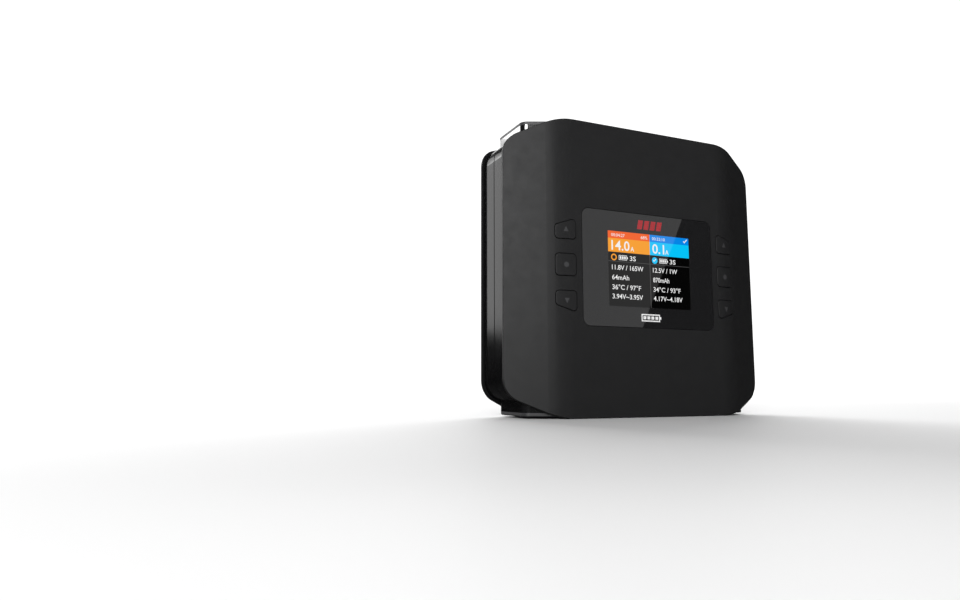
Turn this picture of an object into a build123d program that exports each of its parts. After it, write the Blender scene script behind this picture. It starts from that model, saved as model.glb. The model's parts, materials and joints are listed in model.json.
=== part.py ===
from build123d import *
from math import hypot, radians, tan
import os

os.makedirs("parts", exist_ok=True)

# Two-channel balance charger, standing on its input end. Millimetres.
# X is the width, Z the length, Y the thickness: the screen faces -Y.
# Depths are measured from the front cover's flat face towards the rear.

# Overall size
WIDTH = 178.0
LENGTH = 168.0
THICK = 54.4
FOOT_PROUD = 0.6
BUTTON_PROUD = 0.35
FOOT_R = 6.0
FOOT_X = 40.0
FOOT_Z = 66.0
FOOT_POCKET = 0.8
FRONT_Y = (BUTTON_PROUD - THICK - FOOT_PROUD) / 2
MID_DEPTH = THICK / 2
MID_Z = LENGTH / 2

# Dished covers: a flat middle with a sloped flank on each side
CREASE_X = 59.7
SLOPE = 22.27
CREASE_R = 40.0
COVER_T = 1.5
COVER_EDGE_R = 0.45
CORNER_CUT_Z = 12.7
SIDE_CORNER_R = 13.0
END_CORNER_R = 46.0

# Housing halves under the covers
HOUSING_DEPTH = 1.8
HOUSING_T = 1.2
SIDE_INSET = 1.7
CUT_INSET = 1.7
END_INSET = 0.8
WALL_T = 2.0
SEAM_GAP = 0.3
SEAM_STEP = 0.3
SEAM_STEP_H = 0.35
LIP_T = 0.9
LIP_H = 1.5
END_WALL_Z = 7.0
RECESS_Z = 5.0
RECESS_GAP = 1.45

# Octagonal end blocks
BLOCK_W = 154.4
BLOCK_H = 45.5
BLOCK_CUT = (17.0, 7.5)
BLOCK_R = 5.0
BLOCK_SETBACK = 1.2
BLOCK_DEPTH = 20.0
BLOCK_WALL = 2.0
PLATE_T = 2.0
PLATE_EDGE = 0.5
FIT = 0.15

# Display and buttons
GLASS = (92.0, 66.7)
GLASS_R = 4.5
GLASS_T = 1.8
GLASS_GAP = 0.15
GLASS_EDGE = 0.2
LCD = (69.2, 50.0, 3.0)
BUTTON_X = (50.1, 62.4)
BUTTON_GAP = 0.35
BUTTON_R = 2.0
BUTTON_T = 2.65
BUTTON_EDGE_R = 0.3
BUTTON_FLANGE = 0.9
BUTTON_TRAVEL = 0.8
BUTTON_ROWS = {
    "up": [(14.5, 26.2), (14.5, 22.2)],
    "select": [(-6.1, 6.1), (-6.1, 6.1)],
    "down": [(-26.2, -14.5), (-22.2, -14.5)],
}
STEM_HALF = 2.0
DISPLAY_BOARD = (130.0, 74.0)
DISPLAY_BOARD_DEPTH = 12.0
BOARD_T = 1.6
BRACKET = (66.0, 47.0)
BRACKET_WALL = 3.0
RIBBON_W = 20.0
RIBBON_T = 0.4
RIBBON_Z = 55.0
# Tact switch: base side, base height, plunger radius, plunger height
SWITCH = (6.0, 3.5, 1.75, 1.5)

# Connectors on the output end
SOCKET_X = 55.3
SOCKET_DEPTH = 13.75
SOCKET = (16.2, 8.1)
SOCKET_BODY_L = 14.0
SOCKET_WELL = 10.0
PIN_PITCH = 7.2
PIN_R = 1.9
PIN_BORE_R = 1.2
PIN_STAND = 5.5
HEADER_X = 23.1
HEADER_DEPTH = 10.4
HEADER = (25.5, 5.6)
HEADER_WALL = 0.6
HEADER_BODY_L = 12.0
HEADER_WELL = 10.0
HEADER_PINS = 9
HEADER_PITCH = 2.5
HEADER_PIN = 0.64
HEADER_ROW = HEADER_DEPTH + 0.55
HEADER_TIP_BELOW = 4.3
SLOT_W = 1.6
SLOT_DROP = (0.45, 1.55)
NOTCH_W = 2.2
SOCKET_STAND = 0.3
SOCKET_CLIP = 2.0
CONNECTOR_BOARD = (128.0, 8.8, 18.4)
USB = (8.9, 3.4)
USB_DEPTH = 10.6
USB_WALL = 0.35
USB_POCKET = (10.4, 5.2, 0.5)
USB_L = 10.0
USB_WELL = 8.5
USB_TONGUE = (6.0, 0.7)
MOUTH_EDGE = 0.3

# Honeycomb air grille: long hexagons with their points left and right
HEX_TIP = 5.6
HEX_FLAT = 3.35
HEX_HALF = 2.2
HEX_COLUMNS = [0, 11.7, 23.4, 35.0, 46.5, 57.6, 68.1]
HEX_PITCH = 6.4
HEX_FIRST_ODD = 24.0
HEX_FIRST_EVEN = 20.8

# Input end
FACE_Z = BLOCK_SETBACK
FAN_Z = BLOCK_SETBACK + PLATE_T
FAN_X = 39.0
FAN = 40.0
FAN_DEEP = 20.0
FAN_BORE_R = 19.0
FAN_HOLE = 16.0
HUB_R = 11.0
BLADE_R = 18.4
BLADES = 7
SHAFT_R = 1.0
BUSH_R = 1.05
BLADE_PITCH = 38.0
BLADE_T = 1.1
SEAT_R = 10.0
SEAT_T = 2.4
STRUT_W = 2.4
FAN_SCREW_R = 1.5
FAN_CLEAR = 0.3
GRILLE_R = 15.6
GRILLE_STEP = (7.2, 2.9)
GRILLE_TIP = 3.9
GRILLE_FLAT = 2.2
GRILLE_HALF = 1.95
INLET = (28.0, 20.4)
INLET_WELL = (24.6, 16.6)
INLET_LIP = 1.4
INLET_WALL = 0.6
INLET_FLANGE_T = 0.7
INLET_DEEP = 18.0
INLET_FLOOR = 3.0
INLET_BLADES = [(-7.0, 1.5), (7.0, 1.5), (0.0, -2.5)]
INLET_BLADE = (2.0, 4.0)
BLADE_BELOW = 4.6
BLADE_END = 24.0
DC_X = 68.4

# Inside
BOARD_DEPTH = 41.0
BOSS_X = 52.0
BOSS_Z = 56.0
BOSS_R = 4.0
CASE_SCREW_R = 1.5
STAND_X = 70.0
STAND_Z = (34.0, 77.0, 96.0, 136.0)
STAND_R = 3.4
BOARD_HALF_W = 74.0
POWER_BOARD_Z = (26.0, 85.0)
CHARGE_BOARD_Z = (88.0, 144.0)
RECESS_ARM = 1.6
RECESS_HALF = 0.32
SINK_X = (40.0, 66.0)
SINK_Z = (36.0, 131.0)
SINK_BASE_T = 3.0
SINK_TOP = 15.0
FINS = 7
FIN_PITCH = 4.13
FIN_T = 1.2
SHEET = (46.0, 46.5, 46.9)
TRANSISTOR = (4.8, 10.4)
TRANSISTOR_X = 37.5
TRANSISTOR_Z = (48.0, 66.0, 102.0, 120.0)
TRANSISTOR_TOP = 20.0
CORE_HALF_W = 15.0
CORE_Z = (58.0, 82.0)
CORE_TOP = 21.0
WINDOW_HALF_W = 12.0
WINDOW_Z = (62.0, 78.0)
BULK_R = 9.0
BULK_X = 12.0
BULK_Z = 42.0
BULK_TOP = 17.0
OUTPUT_CAP_R = 5.0
OUTPUT_CAP_X = (-30.0, -18.0, -6.0, 6.0, 18.0, 30.0)
OUTPUT_CAP_Z = 136.0
OUTPUT_CAP_TOP = 21.0
INDUCTOR_X = 16.0
INDUCTOR_Z = 108.0
INDUCTOR = (8.5, 4.5)


def y_at(depth):
    """Y of a plane that lies depth behind the front face."""
    return FRONT_Y + depth


def box(x0, x1, d0, d1, z0, z1):
    """Block between two corners: X, depth from the front, Z."""
    size = (x1 - x0, d1 - d0, z1 - z0)
    middle = ((x0 + x1) / 2, y_at((d0 + d1) / 2), (z0 + z1) / 2)
    return Pos(*middle) * Box(*size)


def rod_y(x, z, r, d0, d1):
    """Round bar along the thickness."""
    return Pos(x, y_at((d0 + d1) / 2), z) * Rot(90, 0, 0) * Cylinder(r, d1 - d0)


def rod_z(x, depth, r, z0, z1):
    """Round bar along the length."""
    return Pos(x, y_at(depth), (z0 + z1) / 2) * Cylinder(r, z1 - z0)


def group(solids):
    """Several separate solids in one node."""
    return Compound(children=list(solids))


def save(shape, name):
    """Write one node."""
    export_step(shape, "parts/" + name + ".step")


def to_rear(shape):
    """Mirror a shape from the front half to the rear half."""
    return mirror(shape, about=Plane(origin=(0, y_at(MID_DEPTH), 0), z_dir=(0, 1, 0)))


def to_input_end(shape):
    """Mirror a shape from the output end, at the top, to the input end, below."""
    return mirror(shape, about=Plane(origin=(0, 0, MID_Z), z_dir=(0, 0, 1)))


def behind(depth):
    """Everything behind the dished front surface lowered by depth."""
    reach = WIDTH / 2 + 4
    crease = CREASE_X - depth * tan(radians(SLOPE / 2))
    edge = depth + (reach - crease) * tan(radians(SLOPE))
    points = [
        (-reach, y_at(THICK)),
        (-reach, y_at(edge)),
        (-crease, y_at(depth)),
        (crease, y_at(depth)),
        (reach, y_at(edge)),
        (reach, y_at(THICK)),
    ]
    section = make_face(FilletPolyline(*points, radius=(0, 0, CREASE_R, CREASE_R, 0, 0), close=True))
    return extrude(section, amount=LENGTH)


def layer(front, back):
    """The sheet between two depths under the dished surface."""
    return behind(front) - behind(back)


def plan_prism(side, cut, end, corner_r, end_r):
    """Prism along Y of the plan outline, moved in by side, cut and end."""
    run = WIDTH / 2 - CREASE_X
    rise = CORNER_CUT_Z
    long = hypot(run, rise)
    drop = cut * long / run
    half_w = WIDTH / 2 - side
    half_l = LENGTH / 2 - end
    cut_x = CREASE_X + (drop - end) * -run / rise
    cut_z = MID_Z - drop - (half_w - CREASE_X) * rise / run
    points = []
    for sx, sz in [(1, 1), (-1, 1), (-1, -1), (1, -1)]:
        pair = [(sx * half_w, sz * cut_z), (sx * cut_x, sz * half_l)]
        points += pair if sx == sz else pair[::-1]
    radii = [corner_r, end_r, end_r, corner_r] * 2
    outline = make_face(FilletPolyline(*points, radius=radii, close=True))
    face = Plane(origin=(0, 0, MID_Z), x_dir=(1, 0, 0), z_dir=(0, -1, 0)) * outline
    return extrude(face, amount=THICK, both=True)


def octagon(grow, z0, z1):
    """Straight octagonal prism of the end blocks, moved out by grow."""
    w, h = BLOCK_W / 2, BLOCK_H / 2
    cx, cy = BLOCK_CUT
    points = [
        (w, h - cy), (w - cx, h), (cx - w, h), (-w, h - cy),
        (-w, cy - h), (cx - w, -h), (w - cx, -h), (w, cy - h),
    ]
    outline = make_face(FilletPolyline(*points, radius=[BLOCK_R] * 8, close=True))
    if grow:
        outline = offset(outline, amount=grow)
    return Pos(0, y_at(MID_DEPTH), z0) * extrude(outline, amount=z1 - z0)


def upright_outline(points, r, grow=0.0):
    """Prism along Y of a polygon given in X and height above the middle."""
    outline = make_face(FilletPolyline(*points, radius=[r] * len(points), close=True))
    if grow:
        outline = offset(outline, amount=grow)
    face = Plane(origin=(0, 0, MID_Z), x_dir=(1, 0, 0), z_dir=(0, -1, 0)) * outline
    return extrude(face, amount=THICK, both=True)


def button_prism(side, row, grow=0.0):
    """Outline of one button; side is -1 or 1."""
    (in_low, in_high), (out_low, out_high) = BUTTON_ROWS[row]
    x_in, x_out = BUTTON_X
    points = [(x_in, in_low), (x_out, out_low), (x_out, out_high), (x_in, in_high)]
    points = [(side * x, z) for x, z in points]
    return upright_outline(points if side > 0 else points[::-1], BUTTON_R, grow)


def rectangle_prism(w, h, r, grow=0.0):
    """Rounded rectangle about the middle of the front."""
    points = [(-w / 2, -h / 2), (w / 2, -h / 2), (w / 2, h / 2), (-w / 2, h / 2)]
    return upright_outline(points, r, grow)


BUTTONS = [(side, row) for side in (-1, 1) for row in BUTTON_ROWS]
SIDE_NAME = {-1: "left", 1: "right"}
FEET = [(sx * FOOT_X, MID_Z + sz * FOOT_Z) for sx in (-1, 1) for sz in (-1, 1)]
BOSSES = [(sx * BOSS_X, MID_Z + sz * BOSS_Z) for sx in (-1, 1) for sz in (-1, 1)]
STANDOFFS = [(sx * STAND_X, z) for sx in (-1, 1) for z in STAND_Z]
FAN_SCREWS = [
    (side * FAN_X + sx * FAN_HOLE, MID_DEPTH + sy * FAN_HOLE)
    for side in (-1, 1) for sx in (-1, 1) for sy in (-1, 1)
]
FRAME_TOP = LENGTH - BLOCK_SETBACK - PLATE_T
PLATE_TOP = LENGTH - BLOCK_SETBACK
BLOCK_FOOT = PLATE_TOP - BLOCK_DEPTH


def front_rim(solid):
    """Edges that run round the faces that look forwards."""
    outer = [f for f in solid.faces() if f.normal_at(f.center()).Y < -0.9]
    edges = [e for f in outer for e in f.edges()]
    return [e for e in edges if sum(e.is_same(o) for o in edges) == 1]


def make_cover():
    """Dished outer cover with a rounded rim."""
    sheet = layer(0, COVER_T) & plan_prism(0, 0, 0, SIDE_CORNER_R, END_CORNER_R)
    return fillet(front_rim(sheet), COVER_EDGE_R)


def make_front_cover(blank):
    """Front cover with its display window and six button windows."""
    cover = blank - rectangle_prism(*GLASS, GLASS_R, GLASS_GAP)
    for side, row in BUTTONS:
        cover -= button_prism(side, row, BUTTON_GAP)
    return cover


def make_rear_cover(blank):
    """Rear cover with four foot pockets and four countersunk holes."""
    cover = to_rear(blank)
    for x, z in BOSSES:
        cover -= rod_y(x, z, CASE_SCREW_R + 0.2, 50, 60)
        head = Pos(x, y_at(THICK - 0.75), z) * Rot(90, 0, 0) * Cone(3.1, 1.7, 1.5)
        cover -= head
    for x, z in FEET:
        cover -= rod_y(x, z, FOOT_R + 0.05, THICK - FOOT_POCKET, THICK + 1)
    return cover


def make_foot(x, z):
    """Round rubber foot set into the rear cover."""
    foot = rod_y(x, z, FOOT_R, THICK - FOOT_POCKET, THICK + FOOT_PROUD)
    return fillet(foot.edges().sort_by(Axis.Y)[-1], 0.4)


def make_housing():
    """Front half of the inner housing, up to the mid seam, without its windows."""
    solid = behind(HOUSING_DEPTH) & plan_prism(SIDE_INSET, CUT_INSET, END_INSET, 12.0, 40.0)
    inner = behind(HOUSING_DEPTH + HOUSING_T)
    inner &= plan_prism(SIDE_INSET + WALL_T, CUT_INSET + WALL_T, END_WALL_Z, 10.0, 20.0)
    solid -= inner
    for z0, z1 in [(-1, RECESS_Z), (LENGTH - RECESS_Z, LENGTH + 1)]:
        solid -= octagon(RECESS_GAP, z0, z1)
    solid -= octagon(FIT, -1, LENGTH + 1)
    return solid


def lip_ring(grow_out, d0, d1):
    """Ring that runs round the seam inside the outer wall."""
    edge = WALL_T - LIP_T - grow_out
    ring = plan_prism(SIDE_INSET + edge, CUT_INSET + edge, 1.0, 11.0, 30.0)
    ring -= plan_prism(SIDE_INSET + WALL_T, CUT_INSET + WALL_T, END_WALL_Z, 10.0, 20.0)
    ring -= octagon(3.0, -1, LENGTH + 1)
    return ring & box(-WIDTH, WIDTH, d0, d1, 0, LENGTH)


def cut_to_seam(half):
    """Front half cut off at the mid seam, with a small step round its edge."""
    seam = MID_DEPTH - SEAM_GAP / 2
    shell = half & box(-WIDTH, WIDTH, 0, seam, 0, LENGTH)
    step = box(-WIDTH, WIDTH, seam - SEAM_STEP_H, seam + 1, 0, LENGTH)
    side, cut = SIDE_INSET + SEAM_STEP, CUT_INSET + SEAM_STEP
    return shell - (step - plan_prism(side, cut, 0, 12.0, 40.0))


def make_front_housing(half):
    """Front half: seam rebate, display and button windows, screw bosses."""
    shell = cut_to_seam(half)
    shell -= lip_ring(0.1, MID_DEPTH - LIP_H - 0.2, MID_DEPTH)
    shell -= rectangle_prism(LCD[0] + 0.8, LCD[1] + 0.8, 0.5) & box(-50, 50, 0, 8, 0, LENGTH)
    for side, row in BUTTONS:
        shell -= button_prism(side, row, BUTTON_FLANGE + 0.5) & box(-80, 80, 0, 12, 0, LENGTH)
    for x, z in BOSSES:
        shell += rod_y(x, z, BOSS_R, HOUSING_DEPTH + HOUSING_T - 0.2, MID_DEPTH - 0.15)
        shell -= rod_y(x, z, CASE_SCREW_R + 0.05, 12, MID_DEPTH + 1)
    return shell


def make_rear_housing(half):
    """Rear half: seam lip, board stand-offs, screw tubes."""
    shell = to_rear(cut_to_seam(half))
    shell += lip_ring(0.0, MID_DEPTH - LIP_H, MID_DEPTH + 1.0)
    keep = to_rear(behind(HOUSING_DEPTH + 0.4))
    for x, z in BOSSES:
        shell += rod_y(x, z, BOSS_R, MID_DEPTH + 0.15, THICK - HOUSING_DEPTH - 0.3)
        shell -= rod_y(x, z, CASE_SCREW_R + 0.2, MID_DEPTH - 1, THICK)
    for x, z in STANDOFFS:
        shell += rod_y(x, z, STAND_R, BOARD_DEPTH + BOARD_T, THICK) & keep
        shell -= rod_y(x, z, 1.3, BOARD_DEPTH, BOARD_DEPTH + BOARD_T + 3.0)
    return shell


def make_end_block():
    """Open sleeve behind the output faceplate, with two catch ribs."""
    sleeve = octagon(0, BLOCK_FOOT, FRAME_TOP) - octagon(-BLOCK_WALL, BLOCK_FOOT - 1, FRAME_TOP + 1)
    top = (THICK - BLOCK_H) / 2
    rib_z = LENGTH - END_WALL_Z - 0.2
    rib = box(-50, 50, top - 1.2, top + 0.5, rib_z - 2.0, rib_z)
    return sleeve + rib + to_rear(rib)


def make_plate_blank():
    """Faceplate with a broken front edge and a skirt inside the sleeve."""
    plate = octagon(0, FRAME_TOP, PLATE_TOP)
    face = plate.faces().sort_by(Axis.Z)[-1]
    plate = chamfer(face.edges(), PLATE_EDGE)
    skirt_z = FRAME_TOP - 3.0
    skirt = octagon(-BLOCK_WALL - 0.1, skirt_z, FRAME_TOP)
    skirt -= octagon(-BLOCK_WALL - 1.1, skirt_z - 1, FRAME_TOP)
    return plate + skirt


def hexagon_hole(x, depth, z0, z1):
    """Long hexagonal hole with points left and right."""
    points = [
        (HEX_TIP, 0), (HEX_FLAT, HEX_HALF), (-HEX_FLAT, HEX_HALF),
        (-HEX_TIP, 0), (-HEX_FLAT, -HEX_HALF), (HEX_FLAT, -HEX_HALF),
    ]
    hole = extrude(make_face(Polyline(*points, close=True)), amount=z1 - z0)
    return Pos(x, y_at(depth), z0) * hole


def honeycomb():
    """Centres of the output grille: seven offsets each side of the middle."""
    cells = []
    for index, offset_x in enumerate(HEX_COLUMNS):
        even = index % 2 == 1
        first = HEX_FIRST_EVEN if even else HEX_FIRST_ODD
        rows = [first + HEX_PITCH * n for n in range(4)]
        if index == 5:
            rows = rows[1:]
        if index == 6:
            rows = rows[:3]
        for x in sorted({offset_x, -offset_x}):
            cells += [(x, row) for row in rows]
    return cells


def socket_outline(x, depth, z0, z1, grow=0.0):
    """Power socket body: a rectangle with two clipped corners on one side."""
    w, h = SOCKET[0] / 2, SOCKET[1] / 2
    clip = SOCKET_CLIP
    points = [(-w, -h), (w - clip, -h), (w, clip - h), (w, h - clip), (w - clip, h), (-w, h)]
    face = make_face(Polyline(*points, close=True))
    if grow:
        face = offset(face, amount=grow, kind=Kind.INTERSECTION)
    return Pos(x, y_at(depth), z0) * extrude(face, amount=z1 - z0)


def header_slots(x, z0, z1):
    """Seven small windows and the end notch below one balance header."""
    low = HEADER_DEPTH + HEADER[1] / 2
    slots = []
    for n in range(2, HEADER_PINS):
        middle = x - (n - (HEADER_PINS - 1) / 2) * HEADER_PITCH
        half = SLOT_W / 2
        slots.append(box(middle - half, middle + half, low + SLOT_DROP[0], low + SLOT_DROP[1], z0, z1))
    notch_end = x + HEADER[0] / 2 - 0.6
    slots.append(box(notch_end - NOTCH_W, notch_end, low - 0.1, low + SLOT_DROP[1], z0, z1))
    return slots


def make_output_faceplate():
    """Output faceplate: two power sockets, two headers, one USB port, honeycomb."""
    plate = make_plate_blank()
    below, above = FRAME_TOP - 5, PLATE_TOP + 1
    for x, depth in honeycomb():
        plate -= hexagon_hole(x, depth, below, above)
    for side in (-1, 1):
        plate -= socket_outline(side * SOCKET_X, SOCKET_DEPTH, below, above, 0.25)
        w, h = HEADER[0] / 2 + 0.05, HEADER[1] / 2 + 0.05
        middle = side * HEADER_X
        plate -= box(middle - w, middle + w, HEADER_DEPTH - h, HEADER_DEPTH + h, below, above)
        for slot in header_slots(middle, below, above):
            plate -= slot
    plate -= usb_body(0.1, below, above)
    w, h, deep = USB_POCKET
    plate -= box(-w / 2, w / 2, USB_DEPTH - h / 2, USB_DEPTH + h / 2, PLATE_TOP - deep, above)
    return plate


def usb_body(grow, z0, z1):
    """Rounded bar of the USB port's outline."""
    w, h = USB[0] + 2 * grow, USB[1] + 2 * grow
    return Pos(0, y_at(USB_DEPTH), z0) * extrude(RectangleRounded(w, h, h * 0.42), amount=z1 - z0)


def make_power_socket(x, depth):
    """Nylon two-pin socket: a deep well with a small key in it."""
    top = PLATE_TOP + SOCKET_STAND
    body = socket_outline(x, depth, top - SOCKET_BODY_L, top)
    body = chamfer(body.faces().sort_by(Axis.Z)[-1].edges(), MOUTH_EDGE)
    well = RectangleRounded(SOCKET[0] - 2.2, SOCKET[1] - 2.2, 2.9)
    well = Pos(x, y_at(depth), top - SOCKET_WELL) * extrude(well, amount=SOCKET_WELL + 1)
    key_depth = depth - SOCKET[1] / 2 + 1.1
    key = box(x - 0.8, x + 0.8, key_depth - 0.1, key_depth + 0.65, top - SOCKET_WELL, top - 0.6)
    body = body - (well - key)
    for sx in (-1, 1):
        body -= rod_z(x + sx * PIN_PITCH / 2, depth, PIN_R + 0.03, top - 20, top)
    return body


def make_power_pins(x, depth):
    """Two hollow gold pins that stand in the well."""
    top = PLATE_TOP + SOCKET_STAND
    tip = top - SOCKET_WELL + PIN_STAND
    pins = []
    for sx in (-1, 1):
        pin = rod_z(x + sx * PIN_PITCH / 2, depth, PIN_R, top - SOCKET_BODY_L - 4, tip)
        pin -= rod_z(x + sx * PIN_PITCH / 2, depth, PIN_BORE_R, tip - 5, tip + 1)
        pins.append(pin)
    return pins


def make_header(x):
    """Balance header body: an open well with nine holes in its floor."""
    w, h = HEADER[0] / 2, HEADER[1] / 2
    top = PLATE_TOP - 0.1
    body = box(x - w, x + w, HEADER_DEPTH - h, HEADER_DEPTH + h, top - HEADER_BODY_L, top)
    w, h = w - HEADER_WALL, h - HEADER_WALL
    body -= box(x - w, x + w, HEADER_DEPTH - h, HEADER_DEPTH + h, top - HEADER_WELL, top + 1)
    for n in range(HEADER_PINS):
        px = x + (n - (HEADER_PINS - 1) / 2) * HEADER_PITCH
        half = HEADER_PIN / 2 + 0.02
        body -= box(px - half, px + half, HEADER_ROW - half, HEADER_ROW + half, top - 20, top)
    return body


def make_header_pins(x):
    """Nine square pins."""
    top = PLATE_TOP - 0.1
    tip = top - HEADER_TIP_BELOW
    pins = []
    for n in range(HEADER_PINS):
        px = x + (n - (HEADER_PINS - 1) / 2) * HEADER_PITCH
        half = HEADER_PIN / 2
        pins.append(box(px - half, px + half, HEADER_ROW - half, HEADER_ROW + half, top - 15, tip))
    return pins


def make_usb_port():
    """Steel USB shell with its inner tongue."""
    top = PLATE_TOP - 0.1
    shell = usb_body(0, top - USB_L, top) - usb_body(-USB_WALL, top - USB_WELL, top + 1)
    w, h = USB_TONGUE[0] / 2, USB_TONGUE[1] / 2
    tongue = box(-w, w, USB_DEPTH - h, USB_DEPTH + h, top - USB_WELL - 0.1, top - 1.2)
    return shell + tongue


def make_connector_board():
    """Board that carries the output connectors, across the length."""
    top = PLATE_TOP + SOCKET_STAND - SOCKET_BODY_L
    width, front, back = CONNECTOR_BOARD
    board = box(-width / 2, width / 2, front, back, top - BOARD_T, top)
    for side in (-1, 1):
        for sx in (-1, 1):
            pin_x = side * SOCKET_X + sx * PIN_PITCH / 2
            board -= rod_z(pin_x, SOCKET_DEPTH, PIN_R + 0.1, top - 3, top + 1)
        for n in range(HEADER_PINS):
            px = side * HEADER_X + (n - (HEADER_PINS - 1) / 2) * HEADER_PITCH
            board -= box(px - 0.5, px + 0.5, HEADER_ROW - 0.5, HEADER_ROW + 0.5, top - 3, top + 1)
    return board


def grille_cells(x):
    """Honeycomb cells inside one fan's circle."""
    cells = []
    for column in range(-2, 3):
        for row in range(-5, 6):
            if (column + row) % 2:
                continue
            cx, cd = column * GRILLE_STEP[0], row * GRILLE_STEP[1]
            if hypot(cx, cd) < GRILLE_R:
                cells.append((x + cx, MID_DEPTH + cd))
    return cells


def small_hexagon(x, depth, z0, z1):
    """Fan grille cell."""
    points = [
        (GRILLE_TIP, 0), (GRILLE_FLAT, GRILLE_HALF), (-GRILLE_FLAT, GRILLE_HALF),
        (-GRILLE_TIP, 0), (-GRILLE_FLAT, -GRILLE_HALF), (GRILLE_FLAT, -GRILLE_HALF),
    ]
    hole = extrude(make_face(Polyline(*points, close=True)), amount=z1 - z0)
    return Pos(x, y_at(depth), z0) * hole


def make_input_faceplate():
    """Input faceplate: two fan grilles, mains inlet, direct-current socket."""
    plate = to_input_end(make_plate_blank())
    low, high = FACE_Z - 1, FAN_Z + 4
    for side in (-1, 1):
        for x, depth in grille_cells(side * FAN_X):
            plate -= small_hexagon(x, depth, low, high)
        half = FAN / 2 + FAN_CLEAR
        middle = side * FAN_X
        plate -= box(middle - half, middle + half, MID_DEPTH - half, MID_DEPTH + half, FAN_Z, high)
    for x, depth in FAN_SCREWS:
        plate -= rod_z(x, depth, 1.7, low, high)
        plate -= Pos(x, y_at(depth), FACE_Z + 0.7) * Cone(3.0, 1.6, 1.4)
    w, h = INLET[0] / 2 - INLET_LIP + 0.1, INLET[1] / 2 - INLET_LIP + 0.1
    plate -= box(-w, w, MID_DEPTH - h, MID_DEPTH + h, low, high)
    plate -= dc_place(socket_outline(0, SOCKET_DEPTH, PLATE_TOP - 8, PLATE_TOP + 2, 0.25))
    return plate


def dc_place(shape):
    """Turn a socket from the output end into the input end's upright place."""
    centred = Pos(0, -y_at(SOCKET_DEPTH), 0) * shape
    turned = Rot(0, 0, 90) * centred
    return to_input_end(Pos(DC_X, y_at(MID_DEPTH), 0) * turned)


def make_inlet():
    """Mains inlet: flange, deep well and closed floor."""
    w, h = INLET[0] / 2, INLET[1] / 2
    flange = extrude(RectangleRounded(2 * w, 2 * h, 2.0), amount=INLET_FLANGE_T)
    flange = Pos(0, y_at(MID_DEPTH), FACE_Z - INLET_FLANGE_T) * flange
    flange = chamfer(flange.faces().sort_by(Axis.Z)[0].edges(), MOUTH_EDGE)
    w, h = w - INLET_LIP, h - INLET_LIP
    body = box(-w, w, MID_DEPTH - h, MID_DEPTH + h, FACE_Z, FACE_Z + INLET_DEEP + INLET_FLOOR)
    w, h = INLET_WELL[0] / 2 - INLET_WALL, INLET_WELL[1] / 2 - INLET_WALL
    well = box(-w, w, MID_DEPTH - h, MID_DEPTH + h, FACE_Z - 2, FACE_Z + INLET_DEEP)
    inlet = flange + body - well
    for blade in INLET_BLADES:
        inlet -= blade_box(*blade, 0.02, FACE_Z + 10, FACE_Z + 30)
    return inlet


def blade_box(x, up, grow, z0, z1):
    """One flat blade of the mains inlet."""
    middle = MID_DEPTH + up
    w, h = INLET_BLADE[0] / 2 + grow, INLET_BLADE[1] / 2 + grow
    return box(x - w, x + w, middle - h, middle + h, z0, z1)


def make_fan_frame(x):
    """Square fan frame with a round bore, motor seat on three struts and a bush."""
    z0, z1 = FAN_Z, FAN_Z + FAN_DEEP
    frame = Pos(x, y_at(MID_DEPTH), z0) * extrude(RectangleRounded(FAN, FAN, 3.0), amount=FAN_DEEP)
    frame -= rod_z(x, MID_DEPTH, FAN_BORE_R, z0 - 1, z1 + 1)
    seat_z = z1 - SEAT_T
    seat = rod_z(x, MID_DEPTH, SEAT_R, seat_z, z1) + rod_z(x, MID_DEPTH, 3.0, z0 + 6, z1)
    reach = FAN_BORE_R + 0.7 - (SEAT_R - 0.7)
    arm = Pos(SEAT_R - 0.7 + reach / 2, 0, 0) * Box(reach, STRUT_W, SEAT_T)
    for n in range(3):
        turned = Rot(0, 0, 30 + 120 * n) * arm
        seat += Pos(x, y_at(MID_DEPTH), seat_z + SEAT_T / 2) * turned
    seat -= rod_z(x, MID_DEPTH, BUSH_R, z0 + 5, z1 - 0.8)
    frame += seat
    for sx in (-1, 1):
        for sy in (-1, 1):
            hole_x, hole_depth = x + sx * FAN_HOLE, MID_DEPTH + sy * FAN_HOLE
            frame -= rod_z(hole_x, hole_depth, FAN_SCREW_R + 0.05, z0 - 1, z1 + 1)
    return frame


def make_fan_rotor(x):
    """Fan rotor: cup, seven pitched blades and the shaft."""
    z0, z1 = FAN_Z + 1.2, FAN_Z + 16.4
    cup = rod_z(0, MID_DEPTH, HUB_R, z0, z1) - rod_z(0, MID_DEPTH, HUB_R - 1.0, z0 + 1.4, z1 + 1)
    rotor = cup + rod_z(0, MID_DEPTH, SHAFT_R, z0 + 1, FAN_Z + FAN_DEEP - 1.4)
    ring = rod_z(0, MID_DEPTH, BLADE_R, z0 + 0.4, z1 - 0.4)
    ring -= rod_z(0, MID_DEPTH, HUB_R - 0.4, z0, z1)
    span = BLADE_R - HUB_R + 1.2
    for n in range(BLADES):
        blade = Pos((BLADE_R + HUB_R) / 2, 0, 0) * Rot(BLADE_PITCH, 0, 0) * Box(span, BLADE_T, 18.0)
        blade = Rot(0, 0, 360 / BLADES * n) * blade
        rotor += (Pos(0, y_at(MID_DEPTH), (z0 + z1) / 2) * blade) & ring
    return Pos(x, 0, 0) * rotor


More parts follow.
